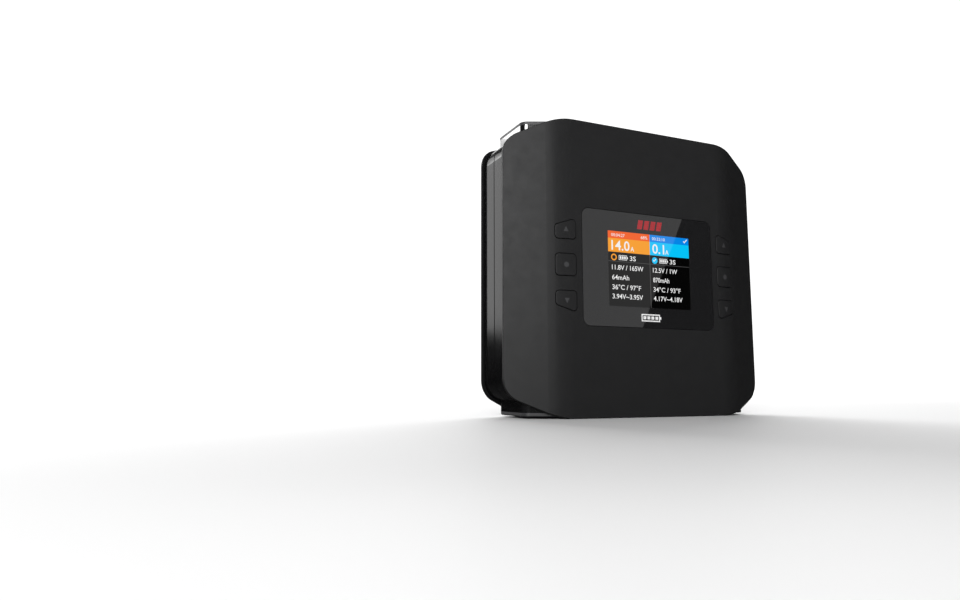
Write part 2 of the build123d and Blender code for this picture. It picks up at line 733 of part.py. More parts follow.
def make_button(side, row):
    """Button cap with its retaining flange and stem."""
    cap = button_prism(side, row) & layer(-BUTTON_PROUD, BUTTON_T)
    cap = fillet(front_rim(cap), BUTTON_EDGE_R)
    flange = button_prism(side, row, BUTTON_FLANGE) & layer(COVER_T + 0.15, BUTTON_T)
    (in_low, in_high), _ = BUTTON_ROWS[row]
    x = side * sum(BUTTON_X) / 2
    z = MID_Z + (in_low + in_high) / 2
    end = DISPLAY_BOARD_DEPTH - SWITCH[1] - SWITCH[3] - BUTTON_TRAVEL - 0.05
    stem = box(x - STEM_HALF, x + STEM_HALF, BUTTON_T - 0.8, end, z - STEM_HALF, z + STEM_HALF)
    return cap + flange + stem


def make_switch(side, row):
    """Tact switch on the display board below one button."""
    (in_low, in_high), _ = BUTTON_ROWS[row]
    x = side * sum(BUTTON_X) / 2
    z = MID_Z + (in_low + in_high) / 2
    half = SWITCH[0] / 2
    base_top = DISPLAY_BOARD_DEPTH - SWITCH[1]
    base = box(x - half, x + half, base_top, DISPLAY_BOARD_DEPTH, z - half, z + half)
    return base + rod_y(x, z, SWITCH[2], base_top - SWITCH[3], base_top)


def make_board(z0, z1):
    """Circuit board with its screw holes and clearance for the case bosses."""
    board = box(-BOARD_HALF_W, BOARD_HALF_W, BOARD_DEPTH, BOARD_DEPTH + BOARD_T, z0, z1)
    for x, z in STANDOFFS:
        if z0 < z < z1:
            board -= rod_y(x, z, 1.6, BOARD_DEPTH - 1, BOARD_DEPTH + 3)
    for x, z in BOSSES:
        board -= rod_y(x, z, BOSS_R + 0.4, BOARD_DEPTH - 1, BOARD_DEPTH + 3)
    return board


def make_heatsink(side):
    """Extruded heatsink with seven fins along the air path."""
    sink = box(*SINK_X, BOARD_DEPTH - SINK_BASE_T, BOARD_DEPTH, *SINK_Z)
    for n in range(FINS):
        x = SINK_X[0] + n * FIN_PITCH
        sink += box(x, x + FIN_T, SINK_TOP, BOARD_DEPTH - SINK_BASE_T + 0.1, *SINK_Z)
    return sink if side > 0 else mirror(sink, about=Plane.YZ)


def board_screw(x, z):
    """Pan-head screw that holds a board to its stand-off."""
    head = rod_y(x, z, 2.75, BOARD_DEPTH - 2.0, BOARD_DEPTH)
    return head + rod_y(x, z, 1.25, BOARD_DEPTH, BOARD_DEPTH + BOARD_T + 2.8)


def cross_recess(x, depth, z, along_y):
    """Cross-shaped driver recess, cut along the thickness or along the length."""
    cross = Box(2 * RECESS_ARM, 2 * RECESS_HALF, 1) + Box(2 * RECESS_HALF, 2 * RECESS_ARM, 1)
    if along_y:
        return Pos(x, y_at(depth + 0.5), z) * Rot(90, 0, 0) * cross
    return Pos(x, y_at(depth), z + 0.5) * cross


def case_screw(x, z):
    """Long countersunk screw through the rear half into the front half."""
    head = Pos(x, y_at(THICK - 0.8), z) * Rot(90, 0, 0) * Cone(2.85, 1.5, 1.4)
    screw = head + rod_y(x, z, CASE_SCREW_R, 14, THICK - 1.4)
    return screw - cross_recess(x, THICK - 1.0, z, True)


def fan_screw(x, depth):
    """Countersunk screw through the faceplate into a fan's corner."""
    head = Pos(x, y_at(depth), FACE_Z + 0.7) * Cone(2.85, 1.5, 1.4)
    screw = head + rod_z(x, depth, FAN_SCREW_R, FACE_Z + 1.3, FAN_Z + 14)
    return screw - cross_recess(x, depth, FACE_Z - 0.2, False)


def toroid(x, z, ring_r, wire_r):
    """Wound ring lying on the board."""
    place = Pos(x, y_at(BOARD_DEPTH - wire_r), z) * Rot(90, 0, 0)
    return place * Torus(ring_r, wire_r)


# Outer shells
cover_blank = make_cover()
save(make_front_cover(cover_blank), "front_cover")
save(make_rear_cover(cover_blank), "rear_cover")
housing_half = make_housing()
save(make_front_housing(housing_half), "front_housing")
save(make_rear_housing(housing_half), "rear_housing")
save(group(make_foot(x, z) for x, z in FEET), "rubber_feet")
save(group(case_screw(x, z) for x, z in BOSSES), "case_screws")

# Output end
output_block = make_end_block()
save(output_block, "output_end_block")
save(make_output_faceplate(), "output_faceplate")
for side in (-1, 1):
    word = SIDE_NAME[side]
    save(make_power_socket(side * SOCKET_X, SOCKET_DEPTH), word + "_output_socket")
    save(group(make_power_pins(side * SOCKET_X, SOCKET_DEPTH)), word + "_output_pins")
    save(make_header(side * HEADER_X), word + "_balance_header")
    save(group(make_header_pins(side * HEADER_X)), word + "_balance_pins")
save(make_usb_port(), "usb_port")
save(make_connector_board(), "connector_board")

# Input end
save(to_input_end(output_block), "input_end_block")
save(make_input_faceplate(), "input_faceplate")
save(make_inlet(), "mains_inlet")
blades = [blade_box(x, up, 0, FACE_Z + BLADE_BELOW, FACE_Z + BLADE_END) for x, up in INLET_BLADES]
save(group(blades), "mains_blades")
save(dc_place(make_power_socket(0, SOCKET_DEPTH)), "dc_input_socket")
save(group(dc_place(pin) for pin in make_power_pins(0, SOCKET_DEPTH)), "dc_input_pins")
for side in (-1, 1):
    word = SIDE_NAME[side]
    save(make_fan_frame(side * FAN_X), word + "_fan_frame")
    save(make_fan_rotor(side * FAN_X), word + "_fan_rotor")
save(group(fan_screw(x, depth) for x, depth in FAN_SCREWS), "fan_screws")

# Display and buttons
glass = rectangle_prism(*GLASS, GLASS_R) & box(-60, 60, 0, GLASS_T, 0, LENGTH)
save(chamfer(front_rim(glass), GLASS_EDGE), "display_glass")
lcd_top = GLASS_T + 0.05
lcd_w, lcd_h, lcd_t = LCD
lcd = box(-lcd_w / 2, lcd_w / 2, lcd_top, lcd_top + lcd_t, MID_Z - lcd_h / 2, MID_Z + lcd_h / 2)
save(lcd, "lcd_panel")
outer_w, outer_h = BRACKET[0] / 2, BRACKET[1] / 2
bracket_front = lcd_top + lcd_t
bracket = box(-outer_w, outer_w, bracket_front, DISPLAY_BOARD_DEPTH, MID_Z - outer_h, MID_Z + outer_h)
inner_w, inner_h = outer_w - BRACKET_WALL, outer_h - BRACKET_WALL
bracket -= box(-inner_w, inner_w, 0, DISPLAY_BOARD_DEPTH + 1, MID_Z - inner_h, MID_Z + inner_h)
save(bracket, "lcd_bracket")
board_w, board_h = DISPLAY_BOARD[0] / 2, DISPLAY_BOARD[1] / 2
board_end = DISPLAY_BOARD_DEPTH + BOARD_T
display_board = box(-board_w, board_w, DISPLAY_BOARD_DEPTH, board_end, MID_Z - board_h, MID_Z + board_h)
save(display_board, "display_board")
for side, row in BUTTONS:
    save(make_button(side, row), SIDE_NAME[side] + "_" + row + "_button")
save(group(make_switch(side, row) for side, row in BUTTONS), "tact_switches")
ribbon = box(-RIBBON_W / 2, RIBBON_W / 2, board_end, BOARD_DEPTH, RIBBON_Z, RIBBON_Z + RIBBON_T)
save(ribbon, "display_ribbon")

# Power and charging circuits
save(make_board(*POWER_BOARD_Z), "power_board")
save(make_board(*CHARGE_BOARD_Z), "charge_board")
save(group(board_screw(x, z) for x, z in STANDOFFS), "board_screws")
save(box(-SHEET[0], SHEET[0], SHEET[1], SHEET[2], SINK_Z[0], SINK_Z[1]), "insulation_sheet")
for side in (-1, 1):
    save(make_heatsink(side), SIDE_NAME[side] + "_heatsink")
half_t, half_w = TRANSISTOR[0] / 2, TRANSISTOR[1] / 2
transistors = []
for side in (-1, 1):
    x = side * TRANSISTOR_X
    for z in TRANSISTOR_Z:
        transistors.append(box(x - half_t, x + half_t, TRANSISTOR_TOP, BOARD_DEPTH, z - half_w, z + half_w))
save(group(transistors), "power_transistors")
core = box(-CORE_HALF_W, CORE_HALF_W, CORE_TOP, BOARD_DEPTH, *CORE_Z)
core -= box(-WINDOW_HALF_W, WINDOW_HALF_W, CORE_TOP - 1, BOARD_DEPTH + 1, *WINDOW_Z)
save(core, "transformer_core")
coil_w = WINDOW_HALF_W - 0.2
coil = box(-coil_w, coil_w, CORE_TOP + 1, BOARD_DEPTH, WINDOW_Z[0] + 0.2, WINDOW_Z[1] - 0.2)
save(coil, "transformer_winding")
bulk = [rod_y(side * BULK_X, BULK_Z, BULK_R, BULK_TOP, BOARD_DEPTH) for side in (-1, 1)]
save(group(bulk), "bulk_capacitors")
small = [rod_y(x, OUTPUT_CAP_Z, OUTPUT_CAP_R, OUTPUT_CAP_TOP, BOARD_DEPTH) for x in OUTPUT_CAP_X]
save(group(small), "output_capacitors")
rings = [toroid(side * INDUCTOR_X, INDUCTOR_Z, *INDUCTOR) for side in (-1, 1)]
save(group(rings), "output_inductors")
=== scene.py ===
import json
import math

import bmesh
import bpy
from bpy.props import FloatProperty, PointerProperty, StringProperty
from bpy.types import Operator, Panel, PropertyGroup
from mathutils import Matrix, Vector

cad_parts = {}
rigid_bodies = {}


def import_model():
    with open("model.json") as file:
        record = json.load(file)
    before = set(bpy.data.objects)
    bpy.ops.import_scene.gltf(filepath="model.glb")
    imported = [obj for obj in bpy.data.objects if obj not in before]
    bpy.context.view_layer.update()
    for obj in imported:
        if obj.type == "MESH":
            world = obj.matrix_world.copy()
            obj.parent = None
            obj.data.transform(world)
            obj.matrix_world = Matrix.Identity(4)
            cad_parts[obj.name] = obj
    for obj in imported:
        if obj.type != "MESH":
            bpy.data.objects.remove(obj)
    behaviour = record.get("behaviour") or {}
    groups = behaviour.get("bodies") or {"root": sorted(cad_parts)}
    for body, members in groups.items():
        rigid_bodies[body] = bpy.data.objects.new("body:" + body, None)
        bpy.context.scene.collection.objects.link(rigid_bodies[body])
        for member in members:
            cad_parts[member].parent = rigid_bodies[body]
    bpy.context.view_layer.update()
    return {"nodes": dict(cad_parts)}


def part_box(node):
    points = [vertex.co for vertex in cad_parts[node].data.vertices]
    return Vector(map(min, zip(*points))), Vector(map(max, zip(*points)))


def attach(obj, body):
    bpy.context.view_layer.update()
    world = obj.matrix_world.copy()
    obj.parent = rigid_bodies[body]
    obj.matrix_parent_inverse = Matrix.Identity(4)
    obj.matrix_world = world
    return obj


bl_info = {
    "name": "Two-channel battery charger",
    "version": (1, 0, 0),
    "blender": (4, 5, 0),
    "location": "3D View > Sidebar > Charger",
    "description": "Finishes, screen picture, printed marks and studio for a battery charger",
    "category": "Object",
}

for leftover in list(bpy.data.objects):
    bpy.data.objects.remove(leftover)
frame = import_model()
NODES = frame["nodes"]

MM = 0.001
GLASS_LOW, GLASS_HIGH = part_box("display_glass")
FRONT_Y = GLASS_LOW.y
SCREEN_Z = (GLASS_LOW.z + GLASS_HIGH.z) / 2

# Every print and lit field is a closed film. Its level says how many skins its face stands
# in front of the glass, so that overlapping films never share a plane.
FILM = 0.03 * MM
SKIN = 0.01 * MM
CAPITAL_HEIGHT = 0.73  # of the built-in font, at size 1

# The buttons' faces follow the cover: flat, then an arc, then the sloped flank.
BUTTON_PROUD = 0.35 * MM
FLANK_SLOPE = math.radians(22.27)
CREASE_X = 59.7 * MM
CREASE_RADIUS = 40 * MM

# How far the icons stand from the middle, and the heights of the three bands above the
# readout rows, in mm.
ICON_X = 56.25
STRIP_HEIGHT = 4.2
BLOCK_HEIGHT = 7.9
TITLE_HEIGHT = 5.4

CAMERA_PLACE = (-0.2512, FRONT_Y - 0.3241, 0.01816)
DIFFUSER_Y = FRONT_Y - 0.9725
SKY = 1.2  # how bright the camera sees the white room


# ---------------------------------------------------------------- settings


class CHARGER_PG_casing(PropertyGroup):
    """Colours and surface sizes of the moulded case"""

    cover: StringProperty(
        name="Cover colour", description="Soft-touch cover, sRGB hex", default="1A1A1B")
    housing: StringProperty(
        name="Housing colour", description="Inner housing and end blocks, sRGB hex",
        default="0C0C0D")
    faceplate: StringProperty(
        name="Faceplate colour", description="Matt connector faceplates, sRGB hex",
        default="2E2E30")
    grain: FloatProperty(
        name="Grain", description="Width of one grain of the moulded texture",
        default=0.35 * MM, unit="LENGTH", precision=5)
    grain_depth: FloatProperty(
        name="Grain depth", description="Height of the moulded texture",
        default=0.012 * MM, unit="LENGTH", precision=6)


class CHARGER_PG_screen(PropertyGroup):
    """Colours and sizes of the lit screen"""

    width: FloatProperty(
        name="Picture width", description="Width of the lit area",
        default=57.6 * MM, unit="LENGTH")
    height: FloatProperty(
        name="Picture height", description="Height of the lit area",
        default=43.2 * MM, unit="LENGTH")
    strip_left: StringProperty(
        name="Left strip", description="Top strip of the left channel, sRGB hex",
        default="F4601C")
    block_left: StringProperty(
        name="Left block", description="Current block of the left channel, sRGB hex",
        default="F99F22")
    strip_right: StringProperty(
        name="Right strip", description="Top strip of the right channel, sRGB hex",
        default="0088EA")
    block_right: StringProperty(
        name="Right block", description="Current block of the right channel, sRGB hex",
        default="00C6FC")
    glow: FloatProperty(
        name="Glow", description="Strength of the lit picture", default=0.95, min=0.0, max=5.0)


class CHARGER_PG_stage(PropertyGroup):
    """Camera, lights and floor"""

    lens: FloatProperty(name="Lens", description="Focal length, mm", default=25.98, min=5.0)
    camera_pitch: FloatProperty(
        name="Pitch", description="How far the camera looks up",
        default=math.radians(7.003), subtype="ANGLE")
    camera_turn: FloatProperty(
        name="Turn", description="How far the camera looks to the right of straight ahead",
        default=math.radians(23.81), subtype="ANGLE")
    back_light: FloatProperty(
        name="Back light", description="Power of the light above and behind",
        default=130.0, unit="POWER")
    side_light: FloatProperty(
        name="Side light", description="Power of the soft light at the front left",
        default=23.0, unit="POWER")
    backdrop: FloatProperty(
        name="Backdrop", description="Brightness of the lit backdrop", default=1.45, min=0.0)
    high_backdrop: FloatProperty(
        name="High backdrop", description="Brightness of the upper left of the backdrop",
        default=4.6, min=0.0)
    fill: FloatProperty(
        name="Fill", description="Brightness of the room on matt surfaces",
        default=0.24, min=0.0)
    gleam: FloatProperty(
        name="Gleam", description="Brightness of the room in reflections",
        default=0.03, min=0.0)
    diffuser: FloatProperty(
        name="Diffuser", description="Brightness of the diffuser mirrored in the glass",
        default=0.85, min=0.0)
    diffuser_foot: FloatProperty(
        name="Diffuser foot", description="Where the diffuser's slanted edge starts",
        default=0.668, unit="LENGTH")
    diffuser_head: FloatProperty(
        name="Diffuser head", description="Where the diffuser's slanted edge ends",
        default=0.948, unit="LENGTH")
    floor: StringProperty(name="Floor colour", description="sRGB hex", default="F2F2F2")


# ---------------------------------------------------------------- materials


def linear(code):
    """Linear RGBA from an sRGB hex code."""
    channels = [int(code[i:i + 2], 16) / 255 for i in (0, 2, 4)]
    return [c / 12.92 if c <= 0.04045 else ((c + 0.055) / 1.055) ** 2.4 for c in channels] + [1.0]


def shade(code, factor):
    """The hex colour made lighter or darker."""
    channels = [round(int(code[i:i + 2], 16) * factor) for i in (0, 2, 4)]
    return "".join("%02X" % max(0, min(255, c)) for c in channels)


def add_node(tree, kind, settings=None, **links):
    """Add a shader node, set its values and link its inputs; a link is (node, output)."""
    node = tree.nodes.new(kind)
    for key, value in (settings or {}).items():
        if key in node.inputs:
            node.inputs[key].default_value = value
        else:
            setattr(node, key, value)
    for key, (source, output) in links.items():
        tree.links.new(source.outputs[output], node.inputs[key.replace("_", " ")])
    return node


def new_material(name, colour, roughness, metallic=0.0, ior=1.5, **extra):
    """A Principled material; returns it with its node tree and shader."""
    material = bpy.data.materials.new(name)
    material.use_nodes = True
    tree = material.node_tree
    tree.nodes.clear()
    settings = {
        "Base Color": linear(colour), "Roughness": roughness, "Metallic": metallic, "IOR": ior}
    settings.update({key.replace("_", " "): value for key, value in extra.items()})
    shader = add_node(tree, "ShaderNodeBsdfPrincipled", settings)
    add_node(tree, "ShaderNodeOutputMaterial", Surface=(shader, "BSDF"))
    return material, tree, shader


def texture(tree, shader, width, detail, fineness=0.5, squeeze=None,
            colours=None, roughness=None, relief=None):
    """Let a mottle with features width metres across vary what is given.

    colours is a pair of hex codes, roughness a pair of values and relief a height in metres.
    squeeze scales the coordinates, so that the mottle is drawn out along an axis.
    """
    place = (add_node(tree, "ShaderNodeTexCoord"), "Object")
    if squeeze:
        drawn_out = add_node(tree, "ShaderNodeMapping", {"Scale": squeeze}, Vector=place)
        place = (drawn_out, "Vector")
    mottle = add_node(tree, "ShaderNodeTexNoise", {
        "Scale": 1 / width, "Detail": detail, "Roughness": fineness}, Vector=place)
    if colours:
        ramp = add_node(tree, "ShaderNodeValToRGB", Fac=(mottle, "Fac"))
        for stop, position, colour in zip(ramp.color_ramp.elements, (0.3, 0.7), colours):
            stop.position = position
            stop.color = linear(colour)
        tree.links.new(ramp.outputs["Color"], shader.inputs["Base Color"])
    if roughness:
        low, high = roughness
        spread = add_node(tree, "ShaderNodeMapRange", {
            "From Min": 0.3, "From Max": 0.7, "To Min": low, "To Max": high},
            Value=(mottle, "Fac"))
        tree.links.new(spread.outputs["Result"], shader.inputs["Roughness"])
    if relief:
        raised = add_node(tree, "ShaderNodeBump", {"Distance": relief}, Height=(mottle, "Fac"))
        tree.links.new(raised.outputs["Normal"], shader.inputs["Normal"])


def soft_touch_abs(settings):
    """Soft-touch painted ABS: near black, matt, with a spark-eroded grain that breaks up glare."""
    material, tree, shader = new_material(
        "soft_touch_abs", settings.cover, 0.5, ior=1.46, Specular_IOR_Level=0.42)
    texture(tree, shader, 9 * MM, 3,
            colours=(shade(settings.cover, 0.96), shade(settings.cover, 1.04)))
    texture(tree, shader, 6 * MM, 4, roughness=(0.46, 0.54))
    # A real grain is about 0.1 mm wide, which is too fine to show, so it is drawn coarser.
    texture(tree, shader, settings.grain, 3, 0.6, relief=settings.grain_depth)
    return material


def satin_abs(settings):
    """Satin ABS of the inner housing: black, with a soft broad sheen down each side."""
    material, tree, shader = new_material(
        "satin_abs", settings.housing, 0.13, ior=1.53, Specular_IOR_Level=0.3)
    texture(tree, shader, 12 * MM, 2, roughness=(0.11, 0.15))
    return material


def polished_abs(settings):
    """Piano-polished ABS of the end blocks: black with sharp, bright reflections."""
    material, tree, shader = new_material(
        "polished_abs", settings.housing, 0.12, ior=1.53, Specular_IOR_Level=1.0,
        Coat_Weight=1.0, Coat_Roughness=0.04, Coat_IOR=1.8)
    texture(tree, shader, 6 * MM, 2, roughness=(0.1, 0.15))
    return material


def matt_polycarbonate(settings):
    """Spark-eroded polycarbonate faceplate: flat dark grey, edges catch a soft line of light."""
    material, tree, shader = new_material(
        "matt_polycarbonate", settings.faceplate, 0.48, ior=1.58)
    texture(tree, shader, 5 * MM, 3,
            colours=(shade(settings.faceplate, 0.94), shade(settings.faceplate, 1.06)))
    # The same 0.1 mm grain, drawn coarser so that it shows.
    texture(tree, shader, 0.28 * MM, 3, 0.6, relief=0.01 * MM)
    return material


def toughened_glass():
    """Toughened cover glass, back-printed dark grey: a clean mirror over a flat dark field."""
    material, tree, shader = new_material("toughened_glass", "19191A", 0.04, ior=1.52)
    texture(tree, shader, 14 * MM, 2, roughness=(0.008, 0.02))
    return material


def lit_picture(name, colour, glow):
    """Backlit liquid crystal under glass: its own light, with the glass's gloss over it."""
    return new_material(
        name, "020202", 0.02, ior=1.52, Specular_IOR_Level=0.33,
        Emission_Color=linear(colour), Emission_Strength=glow)[0]


def amber_nylon():
    """Moulded amber nylon: warm, a little see-through, glossy on its flats."""
    material, tree, shader = new_material(
        "amber_nylon", "D9A02A", 0.34, ior=1.53, Subsurface_Weight=0.25,
        Subsurface_Scale=1.2 * MM, Subsurface_Radius=(1.0, 0.55, 0.12))
    texture(tree, shader, 3 * MM, 3, colours=("CE9322", "E2AC38"))
    texture(tree, shader, 0.5 * MM, 2, relief=0.006 * MM)
    return material


def plain_metal(name, colour, roughness, width, spread, metallic=1.0):
    """A metal whose faint working marks, width metres apart, spread its roughness."""
    # Real marks are about 0.05 mm apart, too fine to show, so every width here is coarser.
    material, tree, shader = new_material(name, colour, roughness, metallic)
    texture(tree, shader, width, 3, roughness=spread)
    return material


def gold_plate():
    """Gold-plated brass pins: warm metal with faint turning marks."""
    return plain_metal("gold_plate", "E0B56A", 0.22, 0.6 * MM, (0.16, 0.32))


def tin_plate():
    """Tin-plated copper: pale, slightly dull metal."""
    return plain_metal("tin_plate", "D6D6D2", 0.28, 0.5 * MM, (0.2, 0.38))


def drawn_steel():
    """Plain drawn steel sheet: mid grey with a soft, uneven shine."""
    return plain_metal("drawn_steel", "B9BABC", 0.3, 0.4 * MM, (0.24, 0.4))


def black_oxide_steel():
    """Black-oxide steel screw: dark, satin, with a metal sheen."""
    return plain_metal(
        "black_oxide_steel", "2A2A2C", 0.36, 0.5 * MM, (0.3, 0.46), metallic=0.9)


def filled_nylon(name, colour):
    """Glass-filled plastic: black, slightly mottled, half matt."""
    material, tree, shader = new_material(name, colour, 0.42, ior=1.53)
    texture(tree, shader, 0.8 * MM, 3, colours=(shade(colour, 0.85), shade(colour, 1.2)))
    # Its glass fibres are about 0.3 mm long and just lift the surface.
    texture(tree, shader, 0.3 * MM, 2, relief=0.006 * MM)
    return material


def solder_resist():
    """Glossy green solder resist over glass-fibre laminate, with the weave just showing."""
    material, tree, shader = new_material("solder_resist", "12381F", 0.3, ior=1.55)
    # The threads are 0.5 mm apart, drawn twice as coarse so that they show.
    texture(tree, shader, 1.1 * MM, 2, colours=("0F321B", "164425"))
    return material


def extruded_aluminium():
    """Plain extruded aluminium: pale metal with fine die lines along the length."""
    material, tree, shader = new_material("extruded_aluminium", "B8BABD", 0.34, metallic=1.0)
    # Die lines are about 0.1 mm apart, drawn coarser so that they show.
    texture(tree, shader, 0.3 * MM, 2, squeeze=(1.0, 1.0, 0.02), roughness=(0.26, 0.44))
    return material


def enamelled_copper():
    """Enamelled copper wire, laid turn by turn: warm brown ridges with a lacquered shine."""
    material, tree, shader = new_material("enamelled_copper", "9C4A20", 0.28, metallic=0.8)
    # The turns of a 0.8 mm wire are drawn twice as coarse. At scale 1 the wave turns
    # through 20 radians in a metre.
    turn = 1.58 * MM
    place = add_node(tree, "ShaderNodeTexCoord")
    turns = add_node(tree, "ShaderNodeTexWave", {
        "wave_type": "BANDS", "bands_direction": "Z", "Scale": 2 * math.pi / (20 * turn),
        "Distortion": 0.3}, Vector=(place, "Object"))
    raised = add_node(tree, "ShaderNodeBump", {"Distance": 0.25 * MM}, Height=(turns, "Fac"))
    tree.links.new(raised.outputs["Normal"], shader.inputs["Normal"])
    return material


def sintered_ferrite():
    """Sintered ferrite: charcoal grey and stony."""
    material, tree, shader = new_material("sintered_ferrite", "2B2B2E", 0.55, ior=1.8)
    # Its pressed grains are finer than 0.1 mm, drawn coarser so that they show.
    texture(tree, shader, 0.4 * MM, 4, relief=0.02 * MM)
    return material


def sleeve_film(name, colour):
    """Thin plastic film: smooth and glossy."""
    material, tree, shader = new_material(name, colour, 0.25)
    texture(tree, shader, 3 * MM, 2, roughness=(0.2, 0.32))
    return material


def silicone_rubber():
    """Moulded silicone rubber: dead matt black with a dusty grain."""
    material, tree, shader = new_material("silicone_rubber", "1B1B1C", 0.75, ior=1.41)
    texture(tree, shader, 1.5 * MM, 4, colours=("171718", "222223"))
    # The mould's grain is about 0.1 mm wide, drawn coarser so that it shows.
    texture(tree, shader, 0.2 * MM, 3, relief=0.01 * MM)
    return material


def pad_print(name, colour, roughness):
    """Pad-printed ink: a thin flat film of colour."""
    material, tree, shader = new_material(name, colour, roughness)
    texture(tree, shader, 1.5 * MM, 2, roughness=(roughness - 0.03, roughness + 0.05))
    return material


def dress(material, *names):
    """Give CAD nodes a material."""
    for name in names:
        NODES[name].data.materials.clear()
        NODES[name].data.materials.append(material)


# ---------------------------------------------------------------- shapes


def new_piece(name, bm, material, body="case"):
    """Link a closed bmesh, its faces turned outwards, as a piece that rides on a body."""
    bmesh.ops.recalc_face_normals(bm, faces=bm.faces[:])
    mesh = bpy.data.meshes.new(name)
    bm.to_mesh(mesh)
    bm.free()
    mesh.materials.append(material)
    piece = bpy.data.objects.new(name, mesh)
    bpy.context.scene.collection.objects.link(piece)
    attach(piece, body)


def add_film(bm, points, level):
    """A flat closed film; points are X and height above the screen's middle, in mm."""
    front = FRONT_Y - level * SKIN
    face = bm.faces.new([
        bm.verts.new((x * MM, front, SCREEN_Z + z * MM)) for x, z in points])
    moved = bmesh.ops.extrude_face_region(bm, geom=[face])["geom"]
    back = [v for v in moved if isinstance(v, bmesh.types.BMVert)]
    bmesh.ops.translate(bm, verts=back, vec=(0, FILM, 0))


def add_bar(bm, x0, x1, z0, z1, level):
    """A flat closed bar between two X and two heights, in mm."""
    add_film(bm, [(x0, z0), (x1, z0), (x1, z1), (x0, z1)], level)


def add_disc(bm, x, z, radius, level):
    """A flat closed disc, in mm."""
    front = Vector((x * MM, FRONT_Y - level * SKIN, SCREEN_Z + z * MM))
    upright = Matrix.Translation(front + Vector((0, FILM / 2, 0))) @ Matrix.Rotation(
        math.pi / 2, 4, "X")
    bmesh.ops.create_cone(
        bm, cap_ends=True, segments=24, radius1=radius * MM, radius2=radius * MM,
        depth=FILM, matrix=upright)


def add_ring(bm, x, z, radius, width, level):
    """A flat closed ring, spun from its section, in mm."""
    front = FRONT_Y - level * SKIN
    middle = Vector((x * MM, front, SCREEN_Z + z * MM))
    inner, outer = (radius - width) * MM, radius * MM
    section = [
        bm.verts.new(middle + Vector((across, depth, 0)))
        for across, depth in ((inner, 0), (outer, 0), (outer, FILM), (inner, FILM))]
    edges = [bm.edges.new((section[n - 1], section[n])) for n in range(4)]
    bmesh.ops.spin(
        bm, geom=section + edges, cent=middle, axis=(0, 1, 0),
        angle=2 * math.pi, steps=40, use_merge=True)


def add_battery(bm, outline, wall, terminal, cell, count, pitch, level):
    """A battery outline with its terminal and cells; each is X0, X1, Z0, Z1 in mm."""
    x0, x1, z0, z1 = outline
    bars = [
        (x0, x1, z1 - wall, z1), (x0, x1, z0, z0 + wall),
        (x0, x0 + wall, z0 + wall, z1 - wall), (x1 - wall, x1, z0 + wall, z1 - wall), terminal]
    left, right, low, high = cell
    bars += [(left + pitch * n, right + pitch * n, low, high) for n in range(count)]
    for bar in bars:
        add_bar(bm, *bar, level)


def add_check_mark(bm, x, z, size, level):
    """A check mark whose lower corner is just below X and Z, in mm."""
    corners = [(-0.9, 0.2), (0.0, -0.8), (2.1, 1.3), (1.7, 1.7), (0.0, 0.0), (-0.5, 0.6)]
    add_film(bm, [(x + size * a, z + size * b) for a, b in corners], level)


def add_text(bm, body, x, z, height, width, weight, level):
    """Readout figures that fill width from X, with capitals of this height on Z, in mm."""
    curve = bpy.data.curves.new("readout", "FONT")
    curve.body = body
    curve.extrude = 1.0
    curve.offset = weight
    curve.resolution_u = 3
    holder = bpy.data.objects.new("readout", curve)
    bpy.context.scene.collection.objects.link(holder)
    bpy.context.view_layer.update()
    depsgraph = bpy.context.evaluated_depsgraph_get()
    mesh = bpy.data.meshes.new_from_object(holder.evaluated_get(depsgraph))
    low = min(v.co.x for v in mesh.vertices)
    high = max(v.co.x for v in mesh.vertices)
    across = width * MM / (high - low)
    up = height / CAPITAL_HEIGHT * MM
    mesh.transform(Matrix((
        (across, 0, 0, x * MM - low * across),
        (0, 0, -FILM / 2, FRONT_Y - level * SKIN + FILM / 2),
        (0, up, 0, SCREEN_Z + z * MM),
        (0, 0, 0, 1))))
    bm.from_mesh(mesh)
    bpy.data.objects.remove(holder)
    bpy.data.curves.remove(curve)
    bpy.data.meshes.remove(mesh)


def face_drop(x):
    """How far a button's face drops back from its flat part at distance x from the centre."""
    rise = math.tan(FLANK_SLOPE / 2)
    crease = CREASE_X + BUTTON_PROUD * rise
    start = crease - CREASE_RADIUS * rise
    end = start + CREASE_RADIUS * math.sin(FLANK_SLOPE)
    if x <= start:
        return 0.0
    if x <= end:
        return CREASE_RADIUS - math.sqrt(CREASE_RADIUS ** 2 - (x - start) ** 2)
    return (x - crease) * math.tan(FLANK_SLOPE)


# ---------------------------------------------------------------- operators


class CHARGER_OT_case(Operator):
    """Give the covers, housing and faceplates their moulded finishes"""

    bl_idname = "charger.case"
    bl_label = "Case finishes"

    def execute(self, context):
        settings = context.scene.charger_casing
        buttons = [name for name in NODES if name.endswith("_button")]
        dress(soft_touch_abs(settings), "front_cover", "rear_cover", *buttons)
        dress(satin_abs(settings), "front_housing", "rear_housing")
        dress(polished_abs(settings), "output_end_block", "input_end_block")
        dress(matt_polycarbonate(settings), "output_faceplate", "input_faceplate")
        dress(silicone_rubber(), "rubber_feet")
        dress(black_oxide_steel(), "case_screws", "fan_screws")
        return {"FINISHED"}


class CHARGER_OT_connectors(Operator):
    """Give the sockets, headers, inlet and pins their materials"""

    bl_idname = "charger.connectors"
    bl_label = "Connectors"

    def execute(self, context):
        dress(amber_nylon(), "left_output_socket", "right_output_socket", "dc_input_socket")
        dress(gold_plate(), "left_output_pins", "right_output_pins", "dc_input_pins")
        dress(tin_plate(), "left_balance_pins", "right_balance_pins", "mains_blades")
        dress(filled_nylon("black_nylon", "131314"), "left_balance_header",
              "right_balance_header", "mains_inlet", "tact_switches", "power_transistors")
        dress(drawn_steel(), "usb_port", "board_screws")
        return {"FINISHED"}


